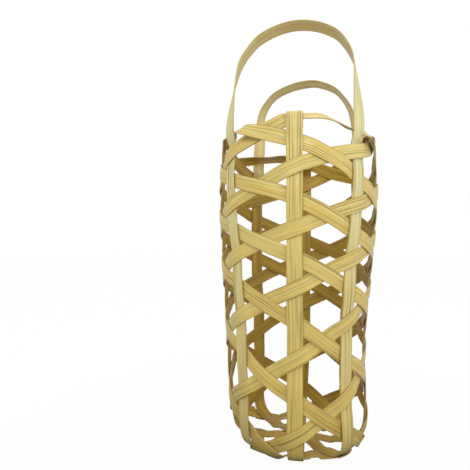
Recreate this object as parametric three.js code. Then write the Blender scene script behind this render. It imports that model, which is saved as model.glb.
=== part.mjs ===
// Open hexagonal-weave splint basket with two loop handles.
// Eight upright stakes cross under the base as four long splints. Four rising and four falling weavers
// wind round them, and each rising weaver turns over at the rim into a falling one. The stake tops fold
// over the rim, except the four that run on into the handle loops.
// Units are millimetres, +Z is up, and the origin is on the floor under the middle of the base.
// Angles are measured round the basket from the front, -Y, towards +X. Levels count the rows of
// crossings up a stake: a rising weaver meets an even stake on even levels and an odd one on odd levels.

import * as THREE from 'three';

// Splints
const STAKE_WIDTH = 9.9;
const WEAVER_WIDTH = 9.1;
const HANDLE_WIDTH = 10;
const SPLINT_THICKNESS = 0.8;
const CROSSING_GAP = 1.2; // free space between two splints in the middle of a crossing
const BUTT_GAP = 0.6; // space between two splint ends that meet behind a crossing

// Body
const STAKE_COUNT = 8;
const FRONT_STAKE_ANGLE = -10.5; // degrees
const BASE_RADIUS = 33;
const BASE_HEIGHT = 2.08; // middle of the woven wall where it crosses the base
const HEEL_RADIUS = 47.2; // wall radius just above the rounded bottom corner
const HEEL_HEIGHT = 17;
const WALL_LOW_RADIUS = 49;
const WALL_LOW_HEIGHT = 80;
const BELLY_RADIUS = 55.2;
const BELLY_HEIGHT = 178;
const RIM_RADIUS = 51.5;
const RIM_HEIGHT = 226;
const CORNER = [0.71, 0.27]; // share of the way out and up from the base to the heel, round the corner
const LOWER_WALL = [0.55, 0.45]; // the same from the heel to the low wall
const UPPER_WALL = [0.6, 0.5]; // and from there to the belly

const LOW_PRESS = 2.8; // how far the lower wall is pushed over towards -X
const HIGH_PRESS = 1.2; // and the wall at the belly
const PRESS_HEIGHT = 70; // up to which the push grows from nothing at the floor
const FEET_LEVEL = 2; // up to which the shifts of the feet grow from nothing under the base
const STAKE_SHIFTS = [ // degrees that each stake has moved round, low down and at its top
  [0, 0],
  [-4.5, 1.5],
  [-2.5, -3],
  [-3, -9],
  [-3.5, -4],
  [-2.5, -5.5],
  [0, -1],
  [0, -7],
];
const SHIFT_LEVELS = [3.5, 10]; // over which one goes over into the other

// Rows of crossings
const FIRST_ROW = 20.8; // height of level 0
const ROW_PITCH = 23.67; // from level 0 to level 1, before the rows draw together
const ROW_TIGHTENING = 0.39; // by which each next pitch is shorter, twice over
const ROWS_PUSHED_UP = 5.6; // how far the middle rows stand above that even spacing
const PUSH_LOST = 0.6; // share of it that is lost where the rim sags most
const PUSH_LEVELS = [0.4, 3.4]; // over which it grows
const PUSH_END = [4.2, 7.8]; // and over which it goes back
const RIM_LEVEL = 10;
const TURN_LEVEL = -1.5; // level at which the weavers would meet under the base
const TURN_ROUNDING = 0.26; // in levels
const RIM_DIP = 14; // the rim sags here on one side
const RIM_DIP_ANGLE = 155; // degrees
const RIM_DIP_START = 1.5; // level
const FRONT_RISE = 4.5; // the upper rows rise here at the front
const FRONT_RISE_ANGLE = -3; // degrees
const FRONT_RISE_POWER = 8; // how narrow the rise is
const FRONT_RISE_LEVELS = [5.5, 8.3]; // over which it grows
const FRONT_RISE_END = [8.8, 10]; // and over which it goes back
const RIM_TWIST = 70; // degrees, how far the weaver lies down along the rim
const RIM_ARCH = 0.34; // levels by which the rim bows up half way round each turn
const RIM_INSET = 1.3; // how much further in than a crossing the rim lies
const FOLD_TWIST = 8; // degrees, the same under a folded stake top
const PEAK_ROUNDING = 0.25; // bays over which a rising weaver levels out
const PEAK_START = 0.6; // bays before its peak at which it first leaves its straight line
const PEAK_LEAN = 0.3; // bays before its peak at which it starts to lean in
const COME_OUTSIDE = [0.02, 0.24]; // bays from the bottom turn over which a rising weaver comes outside
const LIE_DOWN = [0.13, 0.4]; // bays from the peak over which the weaver lies down along the rim
const STAND_UP = [0.9, 1.42]; // and stands up again
const LEAVE_RIM = [1.04, 1.16]; // and joins the weave again
const ROW_EASING = [-1, 3.5]; // levels over which the crossings with stakes take their full share

// Base
const LAYERS = [0, 2, 1, 3]; // place of each base splint in the stack, from the floor up
const STACK_STEP = 1.15; // height from one crossing base splint to the next
const STACK_FLAT = 14.2; // radius up to which the base splints stay stacked
const STACK_END = 23; // radius from which they all lie on the floor
const STAKE_LOW_LEVEL = -1.4; // from which a stake follows the wall

// Folded stake tops
const FOLD_DEPTH = 6.4; // from the stake inwards to its folded end
const FOLD_LENGTH = 9; // of the end that hangs inside
const FOLD_RISE = 6; // above the middle of the weaver that the stake holds
const FOLD_START = 0.2; // levels below the rim
const FOLD_OUTLINE = [ // points from the outside of the fold to its end: inwards, and down from its top
  [0, FOLD_RISE + 1],
  [0, 2],
  [0.9, 0.3],
  [2.6, -0.2],
  [FOLD_DEPTH - 1.6, 0.2],
  [FOLD_DEPTH, 1.8],
  [FOLD_DEPTH, FOLD_LENGTH],
];

// Handles
const FRONT_HANDLE_HEIGHT = 85.5; // above the rim
const FRONT_HANDLE_LEAN = -25; // degrees, towards the middle
const BACK_HANDLE_HEIGHT = 69.2;
const BACK_HANDLE_LEAN = 20;
const FRONT_HANDLE_SPLAY = [2.4, 3.4]; // how far the right and left legs swing out, seen from outside
const BACK_HANDLE_SPLAY = [0, 4];
const FRONT_HANDLE_DRAW = [3.2, 4.2]; // how far its shoulders are drawn in, the same way round
const BACK_HANDLE_DRAW = [-1, 9];
const FRONT_HANDLE_TURNS = [[0.04, 0.3], [0.03, 0.22]]; // shares of its length over which each leg twists
const BACK_HANDLE_TURNS = [[0.1, 0.4], [0.1, 0.4]];
const HANDLE_START_LEVEL = 9;
const LEG = [ // points of a leg: levels above its start, shares of OVER outside the wall and of the splay
  [0.2, -1, 0],
  [0.38, -1, 0],
  [0.6, 0, 0.15],
  [0.8, 1 / 3, 0.35],
  [1.05, 1 / 3, 0.6],
];
const ARCH = [ // points of half the arch: shares of the half span, the height, the splay and the draw
  [1, 0.32, 1, 0.45],
  [1, 0.6, 0.8, 0.9],
  [0.91, 0.75, 0.5, 1],
  [0.76, 0.87, 0.2, 0.95],
  [0.42, 0.97, 0, 0.7],
];
const LEAN_CURVE = 1.25; // power of the height with which the arch leans
const SIGNS = [1, -1]; // ways out from the middle, for the right and the left leg

// Fineness
const STEPS_PER_BAY = 12;
const STEPS_PER_LEVEL = 5;
const HANDLE_STEPS = 44;
const PLATEAU = 8; // how flat-topped the up and down of the weave is
const STAKE_SHARE = 0.22; // how much narrower a weaver's crossing with a stake is than with a weaver

const BAY = 2 * Math.PI / STAKE_COUNT;
const OVER = (SPLINT_THICKNESS + CROSSING_GAP) / 2;
const radians = THREE.MathUtils.degToRad;
const smooth = THREE.MathUtils.smoothstep;
const lerp = THREE.MathUtils.lerp;

function between(radius, height, nextRadius, nextHeight, share) {
  return new THREE.Vector2(lerp(radius, nextRadius, share[0]), lerp(height, nextHeight, share[1]));
}

// Half section of the woven wall, from the middle of the base to the rim, as radius and height.
const section = new THREE.SplineCurve([
  new THREE.Vector2(0, BASE_HEIGHT),
  new THREE.Vector2(BASE_RADIUS / 3, BASE_HEIGHT),
  new THREE.Vector2(2 * BASE_RADIUS / 3, BASE_HEIGHT),
  new THREE.Vector2(BASE_RADIUS, BASE_HEIGHT),
  between(BASE_RADIUS, BASE_HEIGHT, HEEL_RADIUS, HEEL_HEIGHT, CORNER),
  new THREE.Vector2(HEEL_RADIUS, HEEL_HEIGHT),
  between(HEEL_RADIUS, HEEL_HEIGHT, WALL_LOW_RADIUS, WALL_LOW_HEIGHT, LOWER_WALL),
  new THREE.Vector2(WALL_LOW_RADIUS, WALL_LOW_HEIGHT),
  between(WALL_LOW_RADIUS, WALL_LOW_HEIGHT, BELLY_RADIUS, BELLY_HEIGHT, UPPER_WALL),
  new THREE.Vector2(BELLY_RADIUS, BELLY_HEIGHT),
  new THREE.Vector2(RIM_RADIUS, RIM_HEIGHT),
]);
section.arcLengthDivisions = 600;
const sectionLength = section.getLength();

// Length along the section at which the wall reaches a height above the bottom corner.
function lengthAtHeight(height) {
  let low = 0;
  let high = sectionLength;
  for (let i = 0; i < 40; i += 1) {
    const middle = (low + high) / 2;
    if (section.getPointAt(middle / sectionLength).y < height) {
      low = middle;
    } else {
      high = middle;
    }
  }
  return low;
}
const firstRowLength = lengthAtHeight(FIRST_ROW);

// Length along the section of a level at an angle round the basket.
function levelLength(level, angle) {
  const fromDip = angle - radians(RIM_DIP_ANGLE);
  const sagging = (1 + Math.cos(fromDip)) / 2;
  const dip = RIM_DIP * sagging;
  const sag = dip * smooth(level, RIM_DIP_START, RIM_LEVEL);
  const rise = FRONT_RISE * ((1 + Math.cos(angle - radians(FRONT_RISE_ANGLE))) / 2) ** FRONT_RISE_POWER;
  const risen = rise * smooth(level, ...FRONT_RISE_LEVELS) * (1 - smooth(level, ...FRONT_RISE_END));
  const tightening = level > 0 ? ROW_TIGHTENING * level * level : 0;
  const push = ROWS_PUSHED_UP * (1 - PUSH_LOST * sagging);
  const pushed = push * smooth(level, ...PUSH_LEVELS) * (1 - smooth(level, ...PUSH_END));
  return firstRowLength + ROW_PITCH * level - tightening - sag + risen + pushed;
}

// Point, outward normal, the way it faces and bend per millimetre of the woven wall. It is a little
// out of round: the sides have been pushed over, and the front and back have not.
function wall(angle, length) {
  const u = THREE.MathUtils.clamp(length / sectionLength, 0, 1);
  const point = section.getPointAt(u);
  const along = section.getTangentAt(u);
  const ahead = section.getTangentAt(Math.min(1, u + 1 / sectionLength));
  const rest = length - u * sectionLength;
  const height = point.y + along.y * rest;
  const press = lerp(LOW_PRESS, HIGH_PRESS, smooth(height, WALL_LOW_HEIGHT, BELLY_HEIGHT));
  const pressed = press * smooth(height, 0, PRESS_HEIGHT);
  const radius = point.x + along.x * rest - pressed * Math.sin(angle) ** 3;
  const facing = angle + Math.atan(3 * pressed * Math.sin(angle) ** 2 * Math.cos(angle) / radius);
  return {
    point: new THREE.Vector3(radius * Math.sin(angle), -radius * Math.cos(angle), height),
    normal: new THREE.Vector3(along.y * Math.sin(facing), -along.y * Math.cos(facing), -along.x),
    facing,
    bend: Math.max(0, along.cross(ahead)),
  };
}

// Up and down of a weave: 1 over a whole number of turns, -1 between them, with flat tops. A share
// above 0 makes the upper ones narrower.
function wave(turns, share) {
  return Math.tanh(PLATEAU * (Math.cos(2 * Math.PI * turns) - share));
}

// A splint: a flat bar whose middle runs through the points, with its width along the given directions.
function splint(points, widthways, width) {
  const count = points.length;
  const positions = [];
  const indices = [];
  const tangent = new THREE.Vector3();
  const side = new THREE.Vector3();
  const face = new THREE.Vector3();
  points.forEach((point, i) => {
    tangent.subVectors(points[Math.min(i + 1, count - 1)], points[Math.max(i - 1, 0)]).normalize();
    side.copy(widthways[i]).addScaledVector(tangent, -widthways[i].dot(tangent)).normalize();
    face.crossVectors(side, tangent).normalize();
    [[-1, -1], [1, -1], [1, 1], [-1, 1]].forEach(([across, out]) => {
      const corner = point.clone();
      corner.addScaledVector(side, across * width / 2);
      corner.addScaledVector(face, out * SPLINT_THICKNESS / 2);
      positions.push(corner.x, corner.y, corner.z);
    });
  });
  for (let i = 0; i < count - 1; i += 1) {
    for (let j = 0; j < 4; j += 1) {
      const a = 4 * i + j;
      const b = 4 * i + (j + 1) % 4;
      indices.push(a, a + 4, b, b, a + 4, b + 4);
    }
  }
  const last = 4 * (count - 1);
  indices.push(0, 1, 2, 0, 2, 3, last, last + 2, last + 1, last, last + 3, last + 2);
  const geometry = new THREE.BufferGeometry();
  geometry.setAttribute('position', new THREE.Float32BufferAttribute(positions, 3));
  geometry.setIndex(indices);
  geometry.computeVertexNormals();
  return geometry;
}

const basket = new THREE.Group();

function add(name, geometry, colour) {
  const material = new THREE.MeshStandardMaterial({ color: colour, roughness: 0.55, metalness: 0 });
  const mesh = new THREE.Mesh(geometry, material);
  mesh.name = name;
  basket.add(mesh);
}

const STAKE_COLOUR = 0xd2bf82;
const WEAVER_COLOUR = 0xcdb670;
const HANDLE_COLOUR = 0xc9b87a;

// Angle of a stake, or of a place between two, counted in bays from the front stake.
function stakeAngle(stake, level) {
  const first = THREE.MathUtils.euclideanModulo(Math.floor(stake), STAKE_COUNT);
  const here = STAKE_SHIFTS[first];
  const next = STAKE_SHIFTS[(first + 1) % STAKE_COUNT];
  const share = smooth(stake - Math.floor(stake), 0, 1);
  const foot = lerp(here[0], next[0], share) * smooth(level, TURN_LEVEL, FEET_LEVEL);
  const shift = lerp(foot, lerp(here[1], next[1], share), smooth(level, ...SHIFT_LEVELS));
  return radians(FRONT_STAKE_ANGLE + shift) + stake * BAY;
}

// How far a weaver lies outside the wall, 1 over a stake and -1 under a weaver, or the other way round.
// Near the base, where the stakes draw together, its crossings with them take a greater part.
const weave = (bay, level) => OVER * wave(bay, STAKE_SHARE * smooth(level, ...ROW_EASING));

// How far a stake lies outside the wall at a level: under the rising weavers, over the falling ones.
const stakeOffset = (stake, level) => -OVER * wave((level - stake) / 2, 0);

// Path of one weaver, given its level and twist at each place, counted in bays round the basket.
function weaver(from, to, levelAt, offsetAt, twistAt) {
  const count = Math.round((to - from) * STEPS_PER_BAY);
  const trim = BUTT_GAP / 2 / (BELLY_RADIUS * BAY);
  const points = [];
  const widthways = [];
  for (let i = 0; i <= count; i += 1) {
    const bay = lerp(from + trim, to - trim, i / count);
    const [at, next] = [bay, bay + 0.01].map((place) => {
      const angle = stakeAngle(place, levelAt(place));
      return wall(angle, levelLength(levelAt(place), angle));
    });
    const tangent = next.point.clone().sub(at.point).normalize();
    const upwards = new THREE.Vector3().crossVectors(tangent, at.normal).negate().normalize();
    const twist = radians(twistAt(bay));
    const side = upwards.clone().multiplyScalar(Math.cos(twist));
    side.addScaledVector(at.normal, -Math.sin(twist));
    const offset = offsetAt(bay);
    const inset = -Math.sin(twist) * WEAVER_WIDTH / 2;
    const bulge = offset < 0 ? at.bend * WEAVER_WIDTH * WEAVER_WIDTH / 8 : 0;
    points.push(at.point.clone().addScaledVector(at.normal, offset + inset - bulge));
    widthways.push(side.negate());
  }
  return splint(points, widthways, WEAVER_WIDTH);
}

const roundedTurn = (bays) => TURN_LEVEL + Math.sqrt(bays * bays + TURN_ROUNDING * TURN_ROUNDING);

// How far a rising weaver is above its straight line, a number of bays before its peak.
function peakRise(before) {
  const levelled = PEAK_ROUNDING / 2;
  if (before < PEAK_ROUNDING) {
    return before - before * before / (2 * PEAK_ROUNDING);
  }
  return levelled * (1 - smooth(before, PEAK_ROUNDING, PEAK_START));
}

// Each rising weaver starts inside the base, turns up round the bottom corner and ends under the
// folded top of an even stake. It passes over the stakes and under the falling weavers.
for (let i = 0; i < STAKE_COUNT / 2; i += 1) {
  const peak = 2 * i;
  const turn = peak - RIM_LEVEL + TURN_LEVEL;
  const levelAt = (bay) => roundedTurn(bay - turn) + peakRise(peak - bay);
  const risingOffset = (bay) => {
    if (bay < turn + 0.5) {
      return lerp(-OVER, OVER, smooth(bay - turn, ...COME_OUTSIDE));
    }
    return bay < peak - 0.5 ? weave(bay, levelAt(bay)) : -OVER;
  };
  const leanIn = (bay) => FOLD_TWIST * smooth(bay, peak - PEAK_LEAN, peak);
  const rising = weaver(turn - 0.5, peak, levelAt, risingOffset, leanIn);
  add(`weaver_rising_${i + 1}`, rising, WEAVER_COLOUR);
}

// Each falling weaver goes on where a rising one ends. It lies flat along the rim for a bay, stands
// up again, then passes behind the stakes and over the rising weavers down to the base.
for (let i = 0; i < STAKE_COUNT / 2; i += 1) {
  const peak = 2 * i;
  const turn = RIM_LEVEL + 1 - TURN_LEVEL;
  const levelAt = (bay) => {
    const fallen = bay - peak;
    const arched = RIM_LEVEL - fallen * fallen / 4 + RIM_ARCH * Math.sin(fallen * Math.PI / 2) ** 2;
    return fallen < 2 ? arched : roundedTurn(turn - fallen);
  };
  const fallingOffset = (bay) => {
    const onRim = 1 - smooth(bay - peak, ...LEAVE_RIM);
    return lerp(-weave(bay, levelAt(bay)), -RIM_INSET * OVER, onRim);
  };
  const lieDown = (bay) => {
    const fallen = bay - peak;
    const down = lerp(FOLD_TWIST, RIM_TWIST, smooth(fallen, ...LIE_DOWN));
    return down * (1 - smooth(fallen, ...STAND_UP));
  };
  const falling = weaver(peak, peak + turn - 0.5, levelAt, fallingOffset, lieDown);
  add(`weaver_falling_${i + 1}`, falling, WEAVER_COLOUR);
}

// Points of a stake from the middle of the base up to a level, with its width directions.
function stakePath(stake, layer, topLevel) {
  const footAngle = stakeAngle(stake, TURN_LEVEL);
  const floorHeight = SPLINT_THICKNESS / 2;
  const points = [];
  const widthways = [];
  const acrossAt = (angle) => new THREE.Vector3(Math.cos(angle), Math.sin(angle), 0);
  const floorRadii = [STACK_FLAT / 2, STACK_FLAT, lerp(STACK_FLAT, STACK_END, 0.5), STACK_END];
  floorRadii.forEach((radius) => {
    const stacked = 1 - smooth(radius, STACK_FLAT, STACK_END);
    const height = floorHeight + layer * STACK_STEP * stacked;
    points.push(new THREE.Vector3(radius * Math.sin(footAngle), -radius * Math.cos(footAngle), height));
    widthways.push(acrossAt(footAngle));
  });
  const count = Math.round((topLevel - STAKE_LOW_LEVEL) * STEPS_PER_LEVEL);
  for (let i = 1; i <= count; i += 1) {
    const level = lerp(STAKE_LOW_LEVEL, topLevel, i / count);
    const angle = stakeAngle(stake, level);
    const at = wall(angle, levelLength(level, angle));
    const woven = level < RIM_LEVEL - 1 || stake % 2 !== 0;
    points.push(at.point.addScaledVector(at.normal, woven ? stakeOffset(stake, level) : OVER));
    widthways.push(acrossAt(at.facing));
  }
  return { points, widthways };
}

// Folded top of a stake: over the weaver's edge and down inside it.
function foldPoints(stake) {
  const angle = stakeAngle(stake, RIM_LEVEL);
  const at = wall(angle, levelLength(RIM_LEVEL, angle));
  const outward = new THREE.Vector3(Math.sin(angle), -Math.cos(angle), 0);
  const base = at.point.clone().addScaledVector(at.normal, OVER);
  return FOLD_OUTLINE.map(([inwards, down]) => {
    const point = base.clone().addScaledVector(outward, -inwards);
    point.z += FOLD_RISE - down;
    return point;
  });
}

// Opposite stakes are one splint that runs under the base. Even ones end in folds, odd ones carry
// the handles.
for (let i = 0; i < STAKE_COUNT / 2; i += 1) {
  const sides = [i, i + STAKE_COUNT / 2].map((stake) => {
    const folded = stake % 2 === 0;
    const trim = BUTT_GAP / 2 / ROW_PITCH;
    const path = stakePath(stake, LAYERS[i], folded ? RIM_LEVEL - FOLD_START : HANDLE_START_LEVEL - trim);
    if (folded) {
      const fold = foldPoints(stake);
      path.points.push(...fold);
      path.widthways.push(...fold.map(() => path.widthways[path.widthways.length - 1]));
    }
    return path;
  });
  const points = [...sides[0].points].reverse();
  points.push(new THREE.Vector3(0, 0, SPLINT_THICKNESS / 2 + LAYERS[i] * STACK_STEP));
  points.push(...sides[1].points);
  const widthways = sides[0].widthways.map((across) => across.clone().negate()).reverse();
  widthways.push(widthways[widthways.length - 1], ...sides[1].widthways);
  const name = i % 2 === 0 ? `stake_pair_folded_${i / 2 + 1}` : `stake_pair_handle_${(i + 1) / 2}`;
  add(name, splint(points, widthways, STAKE_WIDTH), STAKE_COLOUR);
}

// A handle goes on from two stakes and arches over between them. Its width turns from along the wall
// at the feet to across the arch at the top.
function handle(rightStake, leftStake, { height, lean, splay, draw, turns }) {
  const ends = [rightStake, leftStake].map((stake) => {
    const angle = stakeAngle(stake, RIM_LEVEL);
    return wall(angle, levelLength(RIM_LEVEL, angle)).facing;
  });
  const middle = (ends[0] + ends[1]) / 2;
  const outward = new THREE.Vector3(Math.sin(middle), -Math.cos(middle), 0);
  const right = new THREE.Vector3(Math.cos(middle), Math.sin(middle), 0);
  const trim = BUTT_GAP / 2 / ROW_PITCH;
  const leg = (stake, end) => [[trim, -1, 0], ...LEG].map(([row, out, swing]) => {
    const angle = stakeAngle(stake, HANDLE_START_LEVEL + row);
    const at = wall(angle, levelLength(HANDLE_START_LEVEL + row, angle));
    at.point.addScaledVector(right, SIGNS[end] * swing * splay[end]);
    return at.point.addScaledVector(at.normal, out * OVER);
  });
  const rightLeg = leg(rightStake, 0);
  const leftLeg = leg(leftStake, 1).reverse();
  const foot = rightLeg[rightLeg.length - 1];
  const otherFoot = leftLeg[0];
  const centre = foot.clone().add(otherFoot).multiplyScalar(0.5);
  const halfSpan = foot.distanceTo(otherFoot) / 2;
  const place = ([across, up, swing, drawn], end) => {
    const out = across * halfSpan + (swing - LEG[LEG.length - 1][2]) * splay[end] - drawn * draw[end];
    const point = centre.clone();
    point.addScaledVector(right, SIGNS[end] * out);
    point.addScaledVector(outward, up ** LEAN_CURVE * height * Math.tan(radians(lean)));
    point.z = lerp(end === 0 ? foot.z : otherFoot.z, centre.z + height, up);
    return point;
  };
  const top = centre.clone().addScaledVector(outward, height * Math.tan(radians(lean)));
  top.z = centre.z + height;
  const controls = [...rightLeg, ...ARCH.map((row) => place(row, 0)), top];
  controls.push(...ARCH.map((row) => place(row, 1)).reverse(), ...leftLeg);
  const curve = new THREE.CatmullRomCurve3(controls, false, 'centripetal');
  curve.arcLengthDivisions = 800;
  const points = [];
  const widthways = [];
  for (let i = 0; i <= HANDLE_STEPS; i += 1) {
    const u = i / HANDLE_STEPS;
    const turned = (smooth(u, ...turns[0]) + 1 - smooth(1 - u, ...turns[1])) / 2;
    const angle = lerp(ends[0], ends[1] + Math.PI, turned);
    const tilt = Math.sin(radians(lean)) * Math.sin(Math.PI * turned);
    points.push(curve.getPointAt(u));
    widthways.push(new THREE.Vector3(Math.cos(angle), Math.sin(angle), tilt));
  }
  return splint(points, widthways, HANDLE_WIDTH);
}

const front = {
  height: FRONT_HANDLE_HEIGHT,
  lean: FRONT_HANDLE_LEAN,
  splay: FRONT_HANDLE_SPLAY,
  draw: FRONT_HANDLE_DRAW,
  turns: FRONT_HANDLE_TURNS,
};
const back = {
  height: BACK_HANDLE_HEIGHT,
  lean: BACK_HANDLE_LEAN,
  splay: BACK_HANDLE_SPLAY,
  draw: BACK_HANDLE_DRAW,
  turns: BACK_HANDLE_TURNS,
};
add('handle_front', handle(1, -1, front), HANDLE_COLOUR);
add('handle_back', handle(5, 3, back), HANDLE_COLOUR);

export default basket;
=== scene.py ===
"""Looks of an open hexagonal-weave basket of split bamboo with two loop handles.

Every splint is one surface: a thin, slightly cupped section carried along the line that the splint
takes through the weave. Lengths are metres, +Z is up, the front is -Y, and the origin is on the
floor under the middle of the base. Angles run round the basket from the front towards +X. Bays
count the spaces between stakes, and levels count the rows of crossings up a stake.
"""

import math

import bpy
import numpy as np
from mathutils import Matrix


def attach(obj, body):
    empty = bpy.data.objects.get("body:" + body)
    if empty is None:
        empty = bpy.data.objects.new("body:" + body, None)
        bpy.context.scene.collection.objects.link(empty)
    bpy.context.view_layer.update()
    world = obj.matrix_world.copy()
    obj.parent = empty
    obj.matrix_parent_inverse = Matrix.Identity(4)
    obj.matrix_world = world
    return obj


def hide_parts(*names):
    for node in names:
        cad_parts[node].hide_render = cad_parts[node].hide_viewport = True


bl_info = {
    "name": "Open-Weave Splint Basket",
    "version": (1, 0, 0),
    "blender": (4, 5, 0),
    "location": "3D View > Sidebar > Basket",
    "description": "Weaves a tall open basket of split bamboo with two loop handles",
    "category": "Object",
}

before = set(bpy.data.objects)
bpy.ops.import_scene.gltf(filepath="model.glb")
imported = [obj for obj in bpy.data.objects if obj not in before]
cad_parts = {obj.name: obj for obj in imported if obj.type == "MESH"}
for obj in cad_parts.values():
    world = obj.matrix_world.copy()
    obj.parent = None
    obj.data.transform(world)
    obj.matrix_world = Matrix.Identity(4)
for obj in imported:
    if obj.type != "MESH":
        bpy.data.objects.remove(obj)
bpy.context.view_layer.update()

# The plan of the weave, in bays round the basket and levels up it
STAKES = 8
BAY = 2 * math.pi / STAKES
RIM_LEVEL = 10
TURN_LEVEL = -1.5
STAKE_LOW_LEVEL = -1.35
FOLD_START_LEVEL = RIM_LEVEL - 0.2
HANDLE_START_LEVEL = 9

# Which splint lies where in the stack under the base, from the floor up
LAYERS = (0, 2, 1, 3)

# How far each stake has shifted round, in degrees, low down and at the rim, from which levels
LOW_SHIFTS = (0, -4.5, -2.5, -3, -3.5, -2.5, 0, 0)
TOP_SHIFTS = (0, 1.5, -3, -9, -4, -5.5, -1, -7)
FEET_LEVELS = (TURN_LEVEL, 2)
SHIFT_LEVELS = (3.5, RIM_LEVEL)

# Levels where the middle rows rise and sink back, and how much less they rise where the rim sags
PUSH_LEVELS = (0.4, 3.4)
PUSH_END = (4.2, 7.8)
PUSH_LOST = 0.6

# The same for the upper rows at the front, and how narrow that rise is
RISE_LEVELS = (5.5, 8.3)
RISE_END = (8.8, RIM_LEVEL)
RISE_POWER = 8

# Bulge of the half section, as shares across and up: base to heel, heel to low wall, on to belly
HEEL_BULGE = (0.71, 0.27)
LOW_BULGE = (0.55, 0.45)
BELLY_BULGE = (0.6, 0.5)
SECTION_SAMPLES = 400
SECTION_STEP = 0.0001
LEAST_RADIUS = 0.001

# Waves by which a splint strays: length, share and start, which moves on from piece to piece
STRAY_WAVES = ((0.083, 0.6, 1.7), (0.047, 0.3, 4.1), (0.029, 0.2, 2.9))
STRAY_PACE = 1.618

# Weavers: points in a bay, the gap between two ends, the bottom turn's half length and rounding in
# bays, how much narrower the crossings with stakes get, and how a line crests at its fold
WEAVER_POINTS = 44
END_GAP = 0.0003
TURN_HALF = 0.5
TURN_ROUNDING = 0.26
STAKE_SHARE = 0.22
SHARE_LEVELS = (-1, 3.5)
CREST_REACH = 0.25
CREST_END = 0.6

# Bays before its folded stake over which a rising weaver lifts, leans and lies under the fold, and
# after the bottom turn over which it comes out
LIFT_REACH = 0.3
LEAN_REACH = 0.2
UNDER_FOLD = 0.5
COMING_OUT = (0.02, 0.24)

# Bays from a folded stake over which a falling weaver takes and loses its lift, leaves the rim,
# leans over, lies down, stands up again, and changes from its lower to its upper edge as the hinge
STRIP_START = 0.12
STRIP_END = (0.35, 0.95)
RIM_END = (1.04, 1.16)
EDGE_REACH = 0.14
LYING_DOWN = (0.2, 1)
STANDING_UP = (0.95, 1.75)
HINGE_BAYS = (1.0, 1.35)
HINGE_CHANGE = 1.8

# Number of the first piece of each kind. It sets how a piece strays and where its map starts
RISING, FALLING, UPRIGHT, FRONT_LOOP, BACK_LOOP = 0, 4, 8, 12, 13
WIDTHS = 20

# Stakes: the straight under the base, its place above the floor, where a folded top moves out over
# the weavers, and how the line is smoothed
BASE_POINTS = 24
WALL_POINTS = 420
BASE_REACH = (0.0035, 0.023)
STACK_END = (0.0142, 0.023)
LOWEST_LINE = 0.0004
LAYER_PITCH = 0.00115
HELD_LEVELS = (RIM_LEVEL - 1, RIM_LEVEL - 0.3)
STAKE_STEP = 0.0005
STAKE_SOFTNESS = 0.0009
STAKE_STRAY = 0.6

# Corners of a stake's fold, as places inwards and down: the outer and the inner one
FOLD_OUTER = ((0, 0.0016), (0.0006, 0.0003), (0.0024, 0))
FOLD_INNER = ((0.0018, 0.0002), (0.0003, 0.0016))

# Handle legs: levels above their start, distances out from the wall and shares of the splay
LEG_LEVELS = (0.2, 0.38, 0.6, 0.8, 1.05)
LEG_OFFSETS = (-0.0009, 0, 0.0003, 0.0003)
LEG_SWINGS = (0, 0, 0, 0.15, 0.35, 0.6)
HANDLE_STEP = 0.0006

# Points up a handle's arch: shares of its half span, of its height, of the splay and of the draw
ARCH = (
    (1, 0.32, 1, 0.45),
    (1, 0.6, 0.8, 0.9),
    (0.91, 0.75, 0.5, 1),
    (0.76, 0.87, 0.2, 0.95),
    (0.42, 0.97, 0, 0.7),
)
ARCH_SAMPLES = 40
LEAN_CURVE = 1.25

# Shares of a loop's length over which its right and left legs turn
FRONT_TURNS = ((0.06, 0.34), (0.05, 0.3))
BACK_TURNS = ((0.1, 0.4), (0.1, 0.4))

# A splint's section: points in a corner and on a face, how much of the face they cover, and how
# uneven the width is
CORNER_POINTS = 4
FACE_POINTS = 5
FACE_COVER = 0.8
WIDTH_STRAY = 0.03

# Map and attributes of a splint's mesh: units of the map in a metre, and by how many it moves on
SPLINT_MAP = "Splint"
MAP_SCALE = 1000
MAP_SHIFT = 611
INNER = "inner_face"
INNER_DEPTH = 0.0001
# Attribute and band of the painted shade along a splint's long edges
EDGE_SHADE = "painted_edge_shade"
EDGE_SHADE_BAND = (0.0004, 0.00005)

# Noise in the bamboo: waves in a millimetre across, before fineness, and along, detail, and the
# range of the noise that counts
NOISE_LAYERS = {
    "Fibres": (0.1, 0.02, 2, 0.38, 0.62),
    "Veins": (0.08, 0.012, 1, 0.42, 0.37),
    "Streaks": (0.02, 0.005, 2, 0.3, 0.7),
    "Mottle": (0.006, 0.02, 2, 0.3, 0.7),
}
NOISE_ROUGHNESS = 0.5
VEIN_DEPTH = 0.6

# How much of the deeper colour each kind of splint shows outside, the strength of the lines on
# inner faces and of each noise, up to what height a warmer painted shade lies low down, and its
# surface
WARMTH = {"rising": 0.55, "falling": 0.7, "folded": 0.4, "handle_stake": 0.8, "handle": 0.5}
INNER_LINES = 0.9
HANDLE_INNER_LINES = 0.25
MOTTLE_SHARE = 0.5
VEIN_SHARE = 0.75
FIBRE_SHARE = 0.28
# How far the long edges are darkened by painted shade
EDGE_SHADE_SHARE = 0.6
# Painted shade low down: how much warmer the outer face is at the floor, and up to what height
LOW_SHADE_SHARE = 0.5
LOW_SHADE_HEIGHT = 0.19
ROUGHNESS = (0.42, 0.62)
BUMP_STRENGTH = 0.5
BUMP_DEPTH = 0.0001
SURFACE = {
    "Specular IOR Level": 0.6,
    "Sheen Weight": 0.15,
    "Sheen Roughness": 0.4,
    "Sheen Tint": (0.8, 0.95, 1.0, 1.0),
}
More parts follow.
